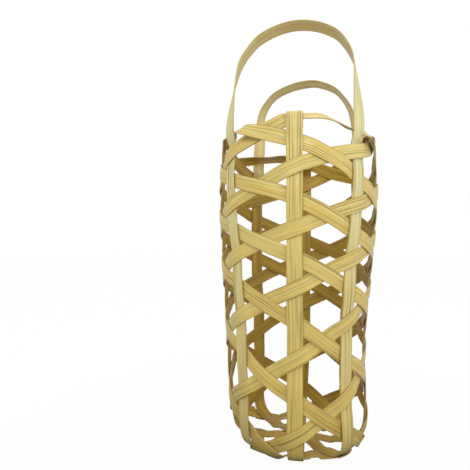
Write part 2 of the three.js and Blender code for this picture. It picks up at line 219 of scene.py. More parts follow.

# Stage: the floor, how much of it is plain white to the camera, its grey near the basket, a painted
# shade, and far from it, and between which distances, and each lamp's place and side
FLOOR_RADIUS = 3.0
FLOOR_CORNERS = 96
FLOOR_DROP = 0.0001
FLOOR_WHITE = 0.98
FLOOR_SHADE_GREYS = (0.08, 0.7)
FLOOR_SHADE_REACH = (0.05, 0.25)
LAMPS = {
    "Key": ((-0.3, -0.85, 0.75), 0.3),
    "Fill": ((0.9, -0.6, 0.45), 0.8),
    "Top": ((0.1, 0.1, 1.1), 0.9),
}
LAMP_AIM = (0, 0, 0.13)
SENSOR_WIDTH = 36
CLIP_START = 0.01
WHITE = (1, 1, 1, 1)


# Settings


def size(name, default, description):
    """A length in metres that a user can change."""
    return bpy.props.FloatProperty(
        name=name, description=description, default=default, unit="LENGTH", precision=4
    )


def sizes(name, pair, description):
    """Two lengths in metres, for the right and the left of a handle, seen from outside."""
    return bpy.props.FloatVectorProperty(
        name=name, description=description, default=pair, size=2, unit="LENGTH", precision=4
    )


def turn(name, degrees, description):
    """An angle that a user can change."""
    return bpy.props.FloatProperty(
        name=name, description=description, default=math.radians(degrees), subtype="ANGLE"
    )


def figure(name, default, description):
    """A plain number that a user can change."""
    return bpy.props.FloatProperty(name=name, description=description, default=default)


def colour(name, red, green, blue, description):
    """A colour, given as it looks on a screen, from 0 to 255."""
    screen = np.array([red, green, blue]) / 255
    linear = np.where(screen <= 0.04045, screen / 12.92, ((screen + 0.055) / 1.055) ** 2.4)
    return bpy.props.FloatVectorProperty(
        name=name, description=description, default=tuple(linear), subtype="COLOR", min=0, max=1
    )


class BasketBody(bpy.types.PropertyGroup):
    """Sizes of the woven wall."""

    base_radius: size("Base radius", 0.033, "Where the wall starts to curve up from the base")
    base_height: size("Base height", 0.00208, "Height of the wall's middle under the basket")
    heel_radius: size("Heel radius", 0.0472, "Radius just above the rounded bottom corner")
    heel_height: size("Heel height", 0.017, "Height of the heel")
    low_radius: size("Low wall radius", 0.049, "Radius of the lower wall")
    low_height: size("Low wall height", 0.080, "Height of that radius")
    belly_radius: size("Belly radius", 0.0552, "Largest radius")
    belly_height: size("Belly height", 0.178, "Height of the largest radius")
    rim_radius: size("Rim radius", 0.0515, "Radius at the rim")
    rim_height: size("Rim height", 0.226, "Height of the rim")
    front_stake: turn("Front stake", -10.5, "Angle of the front stake from the front")
    first_row: size("First row", 0.0208, "Height of the first row of crossings")
    row_pitch: size("Row pitch", 0.02367, "From the first row to the next")
    row_tightening: size("Row tightening", 0.00039, "How fast the rows draw together")
    rows_up: size("Rows pushed up", 0.0056, "How far the middle rows stand above that even spacing")
    low_press: size("Low press", 0.0028, "How far the lower wall is pushed over towards -X")
    high_press: size("High press", 0.0012, "How far the belly is pushed over")
    press_height: size("Press height", 0.070, "Height up to which the push grows from nothing")
    rim_dip: size("Rim dip", 0.014, "How far the rim sags on one side")
    rim_dip_angle: turn("Rim dip angle", 155, "Where the rim sags")
    rim_dip_start: figure("Rim dip start", 1.5, "Level from which the rows sag with the rim")
    front_rise: size("Front rise", 0.0045, "How far the upper rows rise at the front")
    front_rise_angle: turn("Front rise angle", -3, "Where they rise most")


class BasketSplints(bpy.types.PropertyGroup):
    """Sizes of the splints and of how they lie at the rim."""

    stake_width: size("Stake width", 0.0100, "Width of the upright splints")
    weaver_width: size("Weaver width", 0.0093, "Width of the slanting splints")
    handle_width: size("Handle width", 0.010, "Width of the handle splints")
    thickness: size("Thickness", 0.0007, "Thickness of every splint")
    edge_radius: size("Edge radius", 0.0002, "Rounding of the long edges")
    cupping: size("Cupping", 0.00012, "How far the middle of a splint stands proud of its edges")
    over_stake: size("Over a stake", 0.0010, "How far a weaver stands out from the wall at a stake")
    over_weaver: size("Over a weaver", 0.00058, "How far it stands out at another weaver")
    stake_over: size("Stake over", 0.0003, "How far a stake stands out and in between the weavers")
    flatness: figure("Crossing flatness", 2.0, "How flat-topped the up and down of the weave is")
    uneven: size("Unevenness", 0.00025, "How far a hand-woven splint strays from its line")
    rim_twist: turn("Rim twist", 60, "How far a weaver lies down along the rim")
    fold_twist: turn("Fold twist", 34, "How far it leans under a folded stake top")
    edge_twist: turn("Edge twist", 50, "How far it leans where it comes out from under one")
    rim_lift: figure("Rim lift", 0.16, "Levels by which it rises under a folded stake top")
    strip_lift: figure("Strip lift", 0.25, "Levels by which it rises where it lies down")
    rim_arch: figure("Rim arch", 0.34, "Levels by which the rim bows up half way round each turn")
    rim_inset: size("Rim inset", 0.00117, "How far in the rim lies")
    fold_depth: size("Fold depth", 0.0085, "From a stake inwards to its folded end")
    fold_rise: size("Fold rise", 0.0054, "How far a fold stands above the weaver that it holds")
    fold_length: size("Fold length", 0.009, "Length of the end that hangs inside")


class BasketHandles(bpy.types.PropertyGroup):
    """Sizes of the two loops."""

    front_height: size("Front height", 0.0855, "Height of the front loop above its feet")
    front_lean: turn("Front lean", -25, "How far the front loop leans, outwards above 0")
    front_splay: sizes("Front splay", (0.0024, 0.0034), "How far its right and left legs swing out")
    front_draw: sizes("Front draw", (0.0032, 0.0042), "How far its shoulders are drawn in")
    back_height: size("Back height", 0.0692, "Height of the back loop above its feet")
    back_lean: turn("Back lean", 20, "How far the back loop leans, outwards above 0")
    back_splay: sizes("Back splay", (0, 0.004), "How far its right and left legs swing out")
    back_draw: sizes("Back draw", (-0.001, 0.009), "How far its shoulders are drawn in")


class BasketColours(bpy.types.PropertyGroup):
    """Colours of the split bamboo, and its fineness."""

    straw: colour("Straw", 213, 199, 121, "Outer face of a splint")
    # Honey is also the colour of the warmer painted shade low down
    honey: colour("Honey", 206, 174, 76, "Warmer streaks in the outer face")
    # On the stakes that carry the handles this paler, cooler colour is painted sheen
    pale: colour("Pale", 212, 208, 154, "Outer face of a handle and of the stakes that carry it")
    inner: colour("Inner face", 198, 164, 50, "Inner face of a splint")
    inner_dark: colour("Inner streaks", 160, 127, 22, "Darker streaks in the inner face")
    pith: colour("Handle pith", 212, 192, 126, "Inner face of a handle")
    pith_dark: colour("Handle pith streaks", 194, 171, 104, "Darker streaks in it")
    vein: colour("Veins", 140, 112, 46, "Fine dark lines of the fibres")
    # Colour of the painted shade along the long edges of a splint
    cut: colour("Cut edge", 164, 138, 76, "Long edges, where the splint was split")
    fibre: figure("Fibres per centimetre", 16, "How fine the fibres are across a splint")


class BasketStage(bpy.types.PropertyGroup):
    """The camera, the light and the floor."""

    camera_x: size("Camera X", -0.0459, "Place of the camera from left to right")
    camera_distance: size("Camera distance", 0.320, "How far in front of the middle it stands")
    camera_height: size("Camera height", 0.150, "Height of the camera")
    focal: figure("Focal length", 33.7, "Focal length in millimetres, on a frame 36 mm wide")
    horizon: figure("Horizon pixel", 231, "Row of the picture at the camera's height")
    picture: figure("Picture side", 470, "Width and height of the picture in pixels")
    key: figure("Key light", 4.3, "Power of the light in front, in watts")
    fill: figure("Fill light", 3.2, "Power of the light on the right, in watts")
    top: figure("Top light", 4, "Power of the light overhead, in watts")
    air: figure("Air light", 0.72, "Strength of the light from all round")


def body():
    return bpy.context.scene.basket_body


def splints():
    return bpy.context.scene.basket_splints


# Lines through the weave


def smooth(x, low, high):
    """0 below low, 1 above high, and an even S between."""
    t = np.clip((np.asarray(x, float) - low) / (high - low), 0, 1)
    return t * t * (3 - 2 * t)


def mix(a, b, share):
    return a + (b - a) * share


def unit(vectors):
    """The same directions with length 1."""
    return vectors / np.maximum(np.linalg.norm(vectors, axis=1, keepdims=True), 1e-12)


def travelled(points):
    """Length along a line up to each of its points."""
    steps = np.linalg.norm(np.diff(points, axis=0), axis=1)
    return np.concatenate([[0], np.cumsum(steps)])


def even_steps(points, step, *others):
    """The line and what goes with each point, resampled at equal steps along its length."""
    length = travelled(points)
    count = max(2, int(round(length[-1] / step)) + 1)
    at = np.linspace(0, length[-1], count)

    def along(values):
        return np.stack([np.interp(at, length, column) for column in values.T], axis=1)

    return [along(values) for values in (points, *others)]


def softened(points, reach, step):
    """The line averaged over a bell curve of that reach, with its ends kept where they are."""
    half = max(1, int(round(3 * reach / step)))
    offsets = np.arange(-half, half + 1) * step
    weights = np.exp(-((offsets / reach) ** 2) / 2)
    weights /= weights.sum()
    before = 2 * points[0] - points[half:0:-1]
    after = 2 * points[-1] - points[-2 : -half - 2 : -1]
    long = np.concatenate([before, points, after])
    return np.stack([np.convolve(column, weights, "valid") for column in long.T], axis=1)


def cubics(here, there, leave, arrive, samples):
    """Points along the cubics between pairs of places, given the slopes at their ends."""
    t = np.linspace(0, 1, samples, endpoint=False)[None, :, None]
    here, there, leave, arrive = (p[:, None, :] for p in (here, there, leave, arrive))
    spans = (2 * here - 2 * there + leave + arrive) * t**3
    spans = spans + (-3 * here + 3 * there - 2 * leave - arrive) * t**2 + leave * t + here
    return spans.reshape(-1, here.shape[-1])


def even_curve(points, samples):
    """A uniform Catmull-Rom curve: the slope at a point is half the step between the points on
    either side, with the first and last points counted twice."""
    padded = np.concatenate([points[:1], points, points[-1:]])
    slopes = (padded[2:] - padded[:-2]) / 2
    spans = cubics(points[:-1], points[1:], slopes[:-1], slopes[1:], samples)
    return np.concatenate([spans, points[-1:]])


def loose_curve(points, samples):
    """A centripetal Catmull-Rom curve: as even_curve, but each span takes a time that is the square
    root of its length, and past the ends the first and last steps are repeated."""
    padded = np.concatenate([2 * points[:1] - points[1:2], points, 2 * points[-1:] - points[-2:-1]])
    times = np.sqrt(np.linalg.norm(np.diff(padded, axis=0), axis=1))[:, None]
    p0, p1, p2, p3 = padded[:-3], padded[1:-2], padded[2:-1], padded[3:]
    d0, d1, d2 = times[:-2], times[1:-1], times[2:]
    leave = ((p1 - p0) / d0 - (p2 - p0) / (d0 + d1) + (p2 - p1) / d1) * d1
    arrive = ((p2 - p1) / d1 - (p3 - p1) / (d1 + d2) + (p3 - p2) / d2) * d1
    return np.concatenate([cubics(p1, p2, leave, arrive, samples), points[-1:]])


def stake_angle(stake, level):
    """Angle of a stake, or of a place between two, counted in bays from the front stake. The stakes
    have shifted round a little, differently low down and at the rim."""
    stake = np.asarray(stake, float)
    first = np.floor(stake).astype(int)
    shifts = np.radians(np.stack([LOW_SHIFTS, TOP_SHIFTS], axis=1))
    share = smooth(stake - first, 0, 1)[..., None]
    low, top = np.moveaxis(mix(shifts[first % STAKES], shifts[(first + 1) % STAKES], share), -1, 0)
    shift = mix(low * smooth(level, *FEET_LEVELS), top, smooth(level, *SHIFT_LEVELS))
    return body().front_stake + shift + stake * BAY


def across_at(angle):
    """Level direction along the wall, towards greater angles."""
    angle = np.asarray(angle, float)
    return np.stack([np.cos(angle), np.sin(angle), np.zeros(angle.shape)], axis=-1)


class Wall:
    """The woven wall: a surface of revolution, known by the angle round it and the length along its
    half section, from the middle of the base out and up to the rim. It is a little out of round,
    because its sides have been pushed over."""

    def __init__(self):
        b = body()
        parts = ("base", "heel", "low", "belly", "rim")
        base, heel, low, belly, rim = (
            np.array([getattr(b, f"{part}_radius"), getattr(b, f"{part}_height")]) for part in parts
        )
        points = [base * [share, 1] for share in (0, 1 / 3, 2 / 3, 1)]
        points += [base + (heel - base) * HEEL_BULGE, heel, heel + (low - heel) * LOW_BULGE, low]
        points += [low + (belly - low) * BELLY_BULGE, belly, rim]
        self.line = even_steps(even_curve(np.array(points), SECTION_SAMPLES), SECTION_STEP)[0]
        self.length = travelled(self.line)
        self.slope = unit(np.gradient(self.line, self.length, axis=0))
        turned = np.gradient(np.unwrap(np.arctan2(self.slope[:, 1], self.slope[:, 0])), self.length)
        self.bend = np.maximum(0, turned)
        above = self.line[:, 0] > b.base_radius
        self.first_row = np.interp(b.first_row, self.line[above, 1], self.length[above])

    def level_length(self, level, angle):
        """Length along the section of a level: even rows that draw together upwards, stand higher
        half way up, sag on one side of the basket towards the rim, and rise a little in front."""
        b = body()
        from_dip = np.asarray(angle, float) - b.rim_dip_angle
        sagging = (1 + np.cos(from_dip)) / 2
        dip = b.rim_dip * sagging * smooth(level, b.rim_dip_start, RIM_LEVEL)
        pushed = b.rows_up * (1 - PUSH_LOST * sagging)
        pushed = pushed * smooth(level, *PUSH_LEVELS) * (1 - smooth(level, *PUSH_END))
        rise = b.front_rise * ((1 + np.cos(angle - b.front_rise_angle)) / 2) ** RISE_POWER
        rise = rise * smooth(level, *RISE_LEVELS) * (1 - smooth(level, *RISE_END))
        tightening = b.row_tightening * np.maximum(level, 0) ** 2
        return self.first_row + b.row_pitch * level - tightening - dip + rise + pushed

    def at(self, angle, length):
        """Points, outward directions, the angles that they face and bends: the section turned to
        each angle, and carried straight on past its end."""
        b = body()
        inside = np.clip(length, 0, self.length[-1])
        beyond = length - inside
        radius, height = (np.interp(inside, self.length, column) for column in self.line.T)
        out, up = (np.interp(inside, self.length, column) for column in self.slope.T)
        height = height + up * beyond
        press = mix(b.low_press, b.high_press, smooth(height, b.low_height, b.belly_height))
        press = press * smooth(height, 0, b.press_height)
        radius = radius + out * beyond - press * np.sin(angle) ** 3
        slant = 3 * press * np.sin(angle) ** 2 * np.cos(angle)
        facing = angle + np.arctan(slant / np.maximum(radius, LEAST_RADIUS))
        points = np.stack([radius * np.sin(angle), -radius * np.cos(angle), height], axis=1)
        normals = np.stack([up * np.sin(facing), -up * np.cos(facing), -out], axis=1)
        return points, unit(normals), facing, np.interp(inside, self.length, self.bend)


def wave(turns, share=0.0):
    """Up and down of a weave: the hyperbolic tangent of a steep cosine, so with flat tops."""
    return np.tanh(splints().flatness * (np.cos(2 * np.pi * np.asarray(turns, float)) - share))


def stray(length, piece, amount):
    """Slow wandering along a splint: sine waves whose starts differ from piece to piece."""
    return amount * sum(
        share * np.sin(2 * np.pi * length / pitch + start * (piece + 1) * STRAY_PACE)
        for pitch, share, start in STRAY_WAVES
    )


def weaver_line(wall, start, stop, level_at, offset_at, twist_at, hinge_at, piece):
    """Middle line and width directions of a weaver. It follows the levels, stands out from the wall
    by its offset, and leans in at its top by its twist. With the hinge at 1 its lower edge stays on
    the wall, and with the hinge at -1 its upper edge does."""
    trim = END_GAP / (body().belly_radius * BAY)
    bay = np.linspace(start + trim, stop - trim, int((stop - start) * WEAVER_POINTS))
    angle = stake_angle(bay, level_at(bay))
    points, normals, _, bend = wall.at(angle, wall.level_length(level_at(bay), angle))
    tangents = unit(np.gradient(points, axis=0))
    upwards = unit(np.cross(normals, tangents))
    twist = twist_at(bay)[:, None]
    side = upwards * np.cos(twist) - normals * np.sin(twist)
    offset = offset_at(bay)
    width = splints().weaver_width
    inset = -np.sin(twist[:, 0]) * hinge_at(bay) * width / 2
    bulge = np.where(offset < 0, bend * width**2 / 8, 0)
    wander = stray(travelled(points), piece, splints().uneven)
    points = points + normals * (offset + inset - bulge)[:, None] + upwards * wander[:, None]
    return points, -side


def weave(bay, level):
    """How far a rising weaver stands out: over a stake at whole bays, under a weaver between them.
    Its crossings with stakes narrow up the wall, and it stands out more there than in between."""
    s = splints()
    up_and_down = wave(bay, STAKE_SHARE * smooth(level, *SHARE_LEVELS))
    return up_and_down * mix(s.over_weaver, s.over_stake, (1 + up_and_down) / 2)


def rounded_turn(bays):
    """Level near the bottom turn: two straight slopes joined by a hyperbola."""
    return TURN_LEVEL + np.sqrt(bays**2 + TURN_ROUNDING**2)


def rising_line(wall, index):
    """A rising weaver: from inside the base up one level per bay, over stakes and under falling
    weavers, and level with the rim where it goes under a folded stake."""
    over, peak = splints().over_weaver, 2 * index
    turn_bay = peak - RIM_LEVEL + TURN_LEVEL

    def crest(before):
        near = before - before**2 / (2 * CREST_REACH)
        far = CREST_REACH / 2 * (1 - smooth(before, CREST_REACH, CREST_END))
        return np.where(before < CREST_REACH, near, far)

    def level_at(bay):
        lift = splints().rim_lift * smooth(bay, peak - LIFT_REACH, peak)
        return rounded_turn(bay - turn_bay) + crest(peak - bay) + lift

    def offset_at(bay):
        woven = np.where(bay < peak - UNDER_FOLD, weave(bay, level_at(bay)), -over)
        start = mix(-over, over, smooth(bay - turn_bay, *COMING_OUT))
        return np.where(bay < turn_bay + TURN_HALF, start, woven)

    def twist_at(bay):
        return splints().fold_twist * smooth(bay, peak - LEAN_REACH, peak)

    start, piece = turn_bay - TURN_HALF, RISING + index
    return weaver_line(wall, start, peak, level_at, offset_at, twist_at, np.ones_like, piece)


def falling_line(wall, index):
    """A falling weaver: it lies down along the rim for a bay, stands up again, and goes down one
    level per bay, under stakes and over rising weavers, to the inside of the base."""
    s, peak = splints(), 2 * index
    turn_bay = RIM_LEVEL + 1 - TURN_LEVEL

    def level_at(bay):
        fallen = bay - peak
        arched = RIM_LEVEL - fallen**2 / 4 + s.rim_arch * np.sin(fallen * np.pi / 2) ** 2
        lift = mix(s.rim_lift, s.strip_lift, smooth(fallen, 0, STRIP_START))
        arched = arched + lift * (1 - smooth(fallen, *STRIP_END))
        return np.where(fallen < 2, arched, rounded_turn(turn_bay - fallen))

    def offset_at(bay):
        on_rim = 1 - smooth(bay - peak, *RIM_END)
        return mix(-weave(bay, level_at(bay)), -s.rim_inset, on_rim)

    def twist_at(bay):
        fallen = bay - peak
        down = mix(s.fold_twist, s.edge_twist, smooth(fallen, 0, EDGE_REACH))
        down = mix(down, s.rim_twist, smooth(fallen, *LYING_DOWN))
        return down * (1 - smooth(fallen, *STANDING_UP))

    def hinge_at(bay):
        return 1 - HINGE_CHANGE * smooth(bay - peak, *HINGE_BAYS)

    stop, piece = peak + turn_bay - TURN_HALF, FALLING + index
    return weaver_line(wall, peak, stop, level_at, offset_at, twist_at, hinge_at, piece)


def stake_side(wall, stake, layer, top_level):
    """Line of a stake from near the middle of the base, down from its place in the stack onto the
    floor, out, and up the wall in and out between the weavers."""
    s = splints()
    foot = stake_angle(stake, TURN_LEVEL)
    radii = np.linspace(*BASE_REACH, BASE_POINTS)
    stacked = 1 - smooth(radii, *STACK_END)
    heights = LOWEST_LINE + layer * LAYER_PITCH * stacked
    floor = np.stack([radii * np.sin(foot), -radii * np.cos(foot), heights], axis=1)
    levels = np.linspace(STAKE_LOW_LEVEL, top_level, WALL_POINTS)
    angle = stake_angle(np.full(levels.shape, stake), levels)
    points, normals, facing, _ = wall.at(angle, wall.level_length(levels, angle))
    woven = -s.stake_over * wave((levels - stake) / 2)
    held = smooth(levels, *HELD_LEVELS) * (stake % 2 == 0)
    offsets = mix(woven, s.over_stake, held)
    line = np.concatenate([floor, points + normals * offsets[:, None]])
    widthways = np.concatenate([np.tile(across_at(foot), (len(floor), 1)), across_at(facing)])
    return line, widthways


def fold_line(wall, stake):
    """Folded top of a stake: over the weaver's edge and down inside it."""
    s = splints()
    angle = stake_angle(np.array([stake]), RIM_LEVEL)
    points, normals, facing, _ = wall.at(angle, wall.level_length(np.array([RIM_LEVEL]), angle))
    outer, inner = np.array(FOLD_OUTER), np.array(FOLD_INNER)
    inwards = np.array([0, *outer[:, 0], *(s.fold_depth - inner[:, 0]), s.fold_depth])
    down = np.array([s.fold_rise, *outer[:, 1], *inner[:, 1], s.fold_length])
    out = np.array([math.sin(angle[0]), -math.cos(angle[0]), 0])
    line = points + normals * s.over_stake - inwards[:, None] * out
    line[:, 2] += s.fold_rise - down
    return line, np.tile(across_at(facing), (len(line), 1))


def stake_line(wall, index):
    """Two opposite stakes as one splint that runs under the base."""
    folded = index % 2 == 0
    top = FOLD_START_LEVEL if folded else HANDLE_START_LEVEL - END_GAP / body().row_pitch
    lines, turns = [], []
    for stake, way in ((index, -1), (index + STAKES // 2, 1)):
        line, widthways = stake_side(wall, stake, LAYERS[index], top)
        if folded:
            fold, across = fold_line(wall, stake)
            line, widthways = np.concatenate([line, fold]), np.concatenate([widthways, across])
        lines.append(line[::way])
        turns.append(way * widthways[::way])
    lines.insert(1, np.array([[0, 0, LOWEST_LINE + LAYERS[index] * LAYER_PITCH]]))
    turns.insert(1, turns[0][-1:])
    points, widthways = even_steps(np.concatenate(lines), STAKE_STEP, np.concatenate(turns))
    points = softened(points, STAKE_SOFTNESS, STAKE_STEP)
    wander = stray(travelled(points), UPRIGHT + index, STAKE_STRAY * splints().uneven)
    return points + widthways * wander[:, None], widthways


def handle_line(wall, stakes, height, lean, splay, draw, turns):
    """A loop: up inside the top weaver from one stake, over in an arch that leans, and down to the
    other. Its width turns a quarter round, from along the wall to across the arch, and on. The
    stakes, splay, draw and turns are those of the right and left legs."""
    s = splints()
    facings = []
    for stake in stakes:
        angle = stake_angle(np.array([stake]), RIM_LEVEL)
        facings.append(wall.at(angle, wall.level_length(np.array([RIM_LEVEL]), angle))[2][0])
    middle = sum(facings) / 2
    outward = np.array([math.sin(middle), -math.cos(middle), 0])
    right = across_at(middle)
    rows = HANDLE_START_LEVEL + np.array([END_GAP / body().row_pitch, *LEG_LEVELS])
    offsets = np.array([-s.stake_over, -s.stake_over, *LEG_OFFSETS])
    swings = np.array(LEG_SWINGS)

    def leg(end):
        angle = stake_angle(np.full(rows.shape, stakes[end]), rows)
        points, normals, _, _ = wall.at(angle, wall.level_length(rows, angle))
        out = (-1) ** end * swings * splay[end]
        return points + normals * offsets[:, None] + right * out[:, None]

    right_leg, left_leg = leg(0), leg(1)[::-1]
    foot, other_foot = right_leg[-1], left_leg[0]
    centre = (foot + other_foot) / 2
    half_span = np.linalg.norm(foot - other_foot) / 2
    across, up, swing, drawn = np.array(ARCH).T

    def arch(end, start):
        reach = across * half_span + (swing - swings[-1]) * splay[end] - drawn * draw[end]
        points = centre + right * ((-1) ** end * reach)[:, None]
        points = points + outward * (up**LEAN_CURVE * height * math.tan(lean))[:, None]
        points[:, 2] = mix(start[2], centre[2] + height, up)
        return points

    top = centre + outward * height * math.tan(lean)
    top[2] = centre[2] + height
    controls = [right_leg, arch(0, foot), top[None], arch(1, other_foot)[::-1], left_leg]
    points = even_steps(loose_curve(np.concatenate(controls), ARCH_SAMPLES), HANDLE_STEP)[0]
    share = np.linspace(0, 1, len(points))
    turned = (smooth(share, *turns[0]) + 1 - smooth(1 - share, *turns[1])) / 2
    angle = mix(facings[0], facings[1] + math.pi, turned)
    tilt = math.sin(lean) * np.sin(np.pi * turned)
    return points, np.stack([np.cos(angle), np.sin(angle), tilt], axis=1)


# Surfaces


def splint_section(width):
    """Points round a splint's section, as places across and out, from the inner face round. Each
    corner is a quarter circle, and the faces are cupped by a parabola."""
    s = splints()
    radius, half, deep = s.edge_radius, width / 2, s.thickness / 2
    quarter = np.linspace(0, np.pi / 2, CORNER_POINTS)
    face = np.linspace(-FACE_COVER, FACE_COVER, FACE_POINTS) * half

    def corner(across, out, start):
        turn_by = start + quarter
        centre = np.array([across * (half - radius), out * (deep - radius)])
        return centre + radius * np.stack([np.cos(turn_by), np.sin(turn_by)], axis=1)

    def flat(out):
        return np.stack([face[:: -1 if out > 0 else 1], np.full(FACE_POINTS, out * deep)], axis=1)

    outline = np.concatenate(
        [
            corner(-1, -1, np.pi),
            flat(-1),
            corner(1, -1, 1.5 * np.pi),
            corner(1, 1, 0),
            flat(1),
            corner(-1, 1, np.pi / 2),
        ]
    )
    outline[:, 1] += s.cupping * (0.5 - (outline[:, 0] / half) ** 2)
    return outline


def splint_mesh(name, points, widthways, width, piece):
    """A splint: its section carried along the line, square to it, with its width a little uneven.
    The map has millimetres across in U and along in V, moved on so that no two look alike."""
    tangents = unit(np.gradient(points, axis=0))
    side = unit(widthways - tangents * np.sum(widthways * tangents, axis=1, keepdims=True))
    face = unit(np.cross(side, tangents))
    outline = splint_section(width)
    length = travelled(points)
    broad = 1 + stray(length, WIDTHS + piece, WIDTH_STRAY)
    rings, around = len(points), len(outline)
    place = points[:, None, :] + side[:, None, :] * (outline[:, 0] * broad[:, None])[:, :, None]
    place = place + face[:, None, :] * outline[:, 1][None, :, None]
    vertices = place.reshape(-1, 3)
    here = np.arange((rings - 1) * around).reshape(rings - 1, around)
    beside = np.roll(here, -1, axis=1)
    quads = np.stack([here, here + around, beside + around, beside], axis=2).reshape(-1, 4)
    caps = [list(range(around)), list(range(rings * around - 1, (rings - 1) * around - 1, -1))]
    mesh = bpy.data.meshes.new(name)
    mesh.from_pydata(vertices.tolist(), [], quads.tolist() + caps)
    smooth_faces = np.ones(len(mesh.polygons), bool)
    smooth_faces[-2:] = False
    mesh.polygons.foreach_set("use_smooth", smooth_faces)
    u = MAP_SCALE * travelled(np.concatenate([outline, outline[:1]]))
    v = MAP_SCALE * length + MAP_SHIFT * (piece + 1)
    uv = np.stack(np.meshgrid(u, v), axis=2)
    corners = np.stack([uv[:-1, :-1], uv[1:, :-1], uv[1:, 1:], uv[:-1, 1:]], axis=2).reshape(-1, 2)
    loops = np.concatenate([corners, MAP_SCALE * outline, MAP_SCALE * outline[::-1]])
    layer = mesh.uv_layers.new(name=SPLINT_MAP)
    layer.data.foreach_set("uv", loops.astype(np.float32).ravel())
    inner = smooth(-outline[:, 1], 0, INNER_DEPTH)
    # Mask of the painted shade along the long edges
    edge = smooth(np.abs(outline[:, 0]), *(width / 2 - reach for reach in EDGE_SHADE_BAND))
    for label, values in ((INNER, inner), (EDGE_SHADE, edge)):
        attribute = mesh.attributes.new(label, "FLOAT", "POINT")
        attribute.data.foreach_set("value", np.tile(values, rings).astype(np.float32))
    mesh.update()
    return mesh


def place_splint(name, node, line, width, piece, material):
    """Makes a splint, gives it its material, and lets it stand for a node of the frame."""
    points, widthways = line
    piece_object = bpy.data.objects.new(name, splint_mesh(name, points, widthways, width, piece))
    bpy.context.scene.collection.objects.link(piece_object)
    piece_object.data.materials.append(material)
    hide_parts(node)
    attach(piece_object, "root")


# Materials


def shader_node(tree, kind, inputs=None, **settings):
    """Adds a node with its settings and input values or links."""
    made = tree.nodes.new(kind)
    for key, value in settings.items():
        setattr(made, key, value)
    for key, value in (inputs or {}).items():
        if isinstance(value, bpy.types.NodeSocket):
            tree.links.new(value, made.inputs[key])
        else:
            made.inputs[key].default_value = value
    return made


def times(tree, value, factor):
    """One value in a shader times another."""
    made = shader_node(tree, "ShaderNodeMath", {0: value, 1: factor}, operation="MULTIPLY")
    return made.outputs[0]


def ranged(tree, value, low, high, source=(0, 1), **settings):
    """A value in a shader moved from its source's range to another, and kept within that."""
    limits = {"From Min": source[0], "From Max": source[1], "To Min": low, "To Max": high}
    made = shader_node(tree, "ShaderNodeMapRange", {"Value": value, **limits}, **settings)
    return made.outputs[0]


def show(tree, shader, kind="ShaderNodeOutputMaterial"):
    """Makes a shader the one that shows."""
    output = tree.nodes.new(kind)
    tree.links.new(shader.outputs[0], output.inputs[0])


def fibre_group():
    """Split bamboo: noise stretched far along the splint, at four scales. Fibres are fine and even,
    veins are dark lines, streaks are broad bands, and mottle is the slow change along."""
    name = "Split Bamboo Fibres"
    if name in bpy.data.node_groups:
        return bpy.data.node_groups[name]
    tree = bpy.data.node_groups.new(name, "ShaderNodeTree")
    for label, kind in (("Map", "NodeSocketVector"), ("Fineness", "NodeSocketFloat")):
        tree.interface.new_socket(name=label, in_out="INPUT", socket_type=kind)
    for label in (*NOISE_LAYERS, "Height"):
        tree.interface.new_socket(name=label, in_out="OUTPUT", socket_type="NodeSocketFloat")
    given = tree.nodes.new("NodeGroupInput")
    parts = shader_node(tree, "ShaderNodeSeparateXYZ", {"Vector": given.outputs["Map"]})
    found = {}
    for label, (across, along, detail, low, high) in NOISE_LAYERS.items():
        fine = times(tree, times(tree, parts.outputs["X"], across), given.outputs["Fineness"])
        place = {"X": fine, "Y": times(tree, parts.outputs["Y"], along)}
        vector = shader_node(tree, "ShaderNodeCombineXYZ", place).outputs[0]
        noise = {"Vector": vector, "Scale": 1, "Detail": detail, "Roughness": NOISE_ROUGHNESS}
        shade = shader_node(tree, "ShaderNodeTexNoise", noise).outputs["Fac"]
        found[label] = ranged(tree, shade, 0, 1, (low, high), interpolation_type="SMOOTHSTEP")
    sunk = {0: found["Veins"], 1: -VEIN_DEPTH, 2: found["Fibres"]}
    found["Height"] = shader_node(tree, "ShaderNodeMath", sunk, operation="MULTIPLY_ADD").outputs[0]
    result = tree.nodes.new("NodeGroupOutput")
    for label, socket in found.items():
        tree.links.new(socket, result.inputs[label])
    return tree


